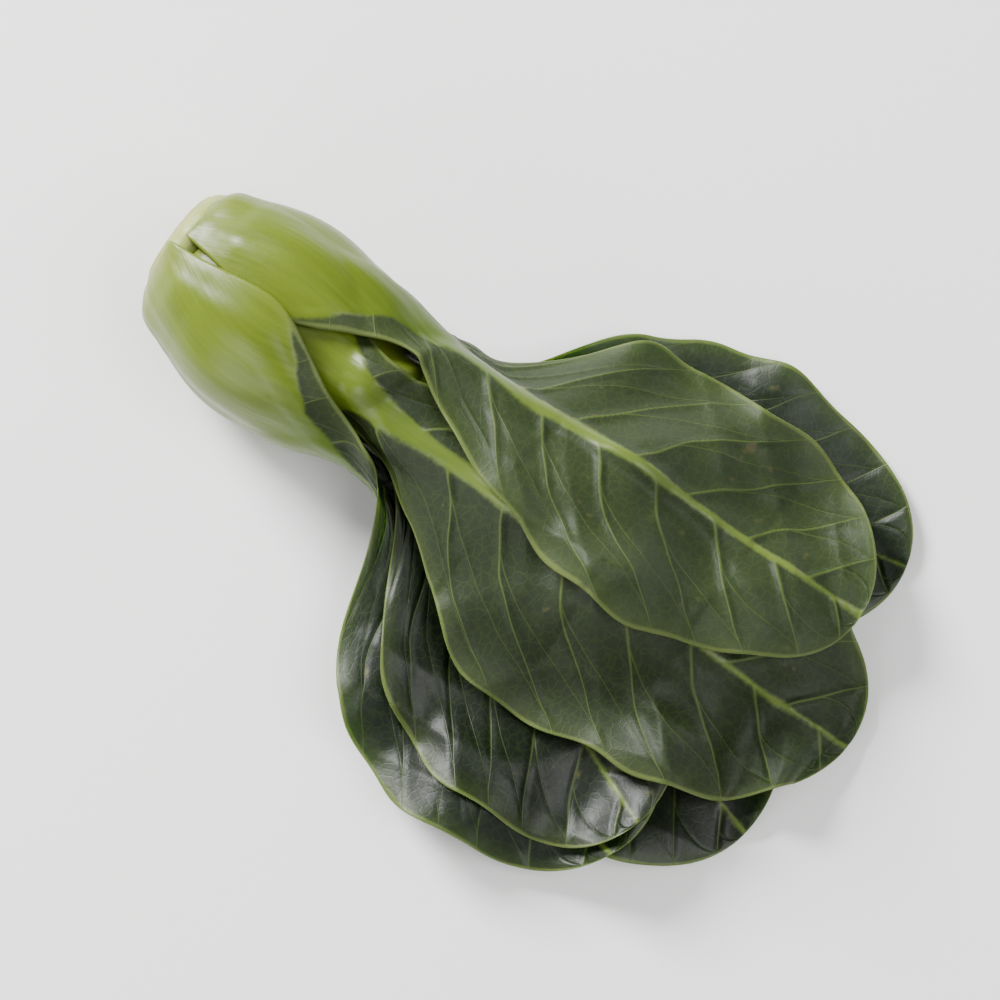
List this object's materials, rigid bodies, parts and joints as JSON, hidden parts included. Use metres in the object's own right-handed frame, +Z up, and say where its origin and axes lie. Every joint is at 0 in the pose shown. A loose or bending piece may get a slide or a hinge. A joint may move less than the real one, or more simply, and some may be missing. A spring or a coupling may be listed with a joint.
{
  "type": "baby bok choy head",
  "caption": "Small leafy green vegetable head lying on its side: thick pale stalks nested in a bulb round a short cut stem, opening into spoon-shaped dark green leaves.",
  "frame": {"origin": "middle of the head's outline on the surface that it lies on", "axes": "+X from the cut butt to the leaf tips, +Z up from the surface, +Y to the left of the leaf tips"},
  "size_m": [0.118, 0.0826, 0.028],
  "materials": {
    "stem": "moist pale cut plant tissue, matte",
    "leaf": "waxy plant tissue: glossy yellow-green stalk, dark green satin blade"
  },
  "bodies": {
    "root": {"stem": "stem", "leaf_01": "leaf", "leaf_02": "leaf", "leaf_03": "leaf", "leaf_04": "leaf", "leaf_05": "leaf", "leaf_06": "leaf", "leaf_07": "leaf", "leaf_08": "leaf", "leaf_09": "leaf", "leaf_10": "leaf"}
  },
  "joints": []
}
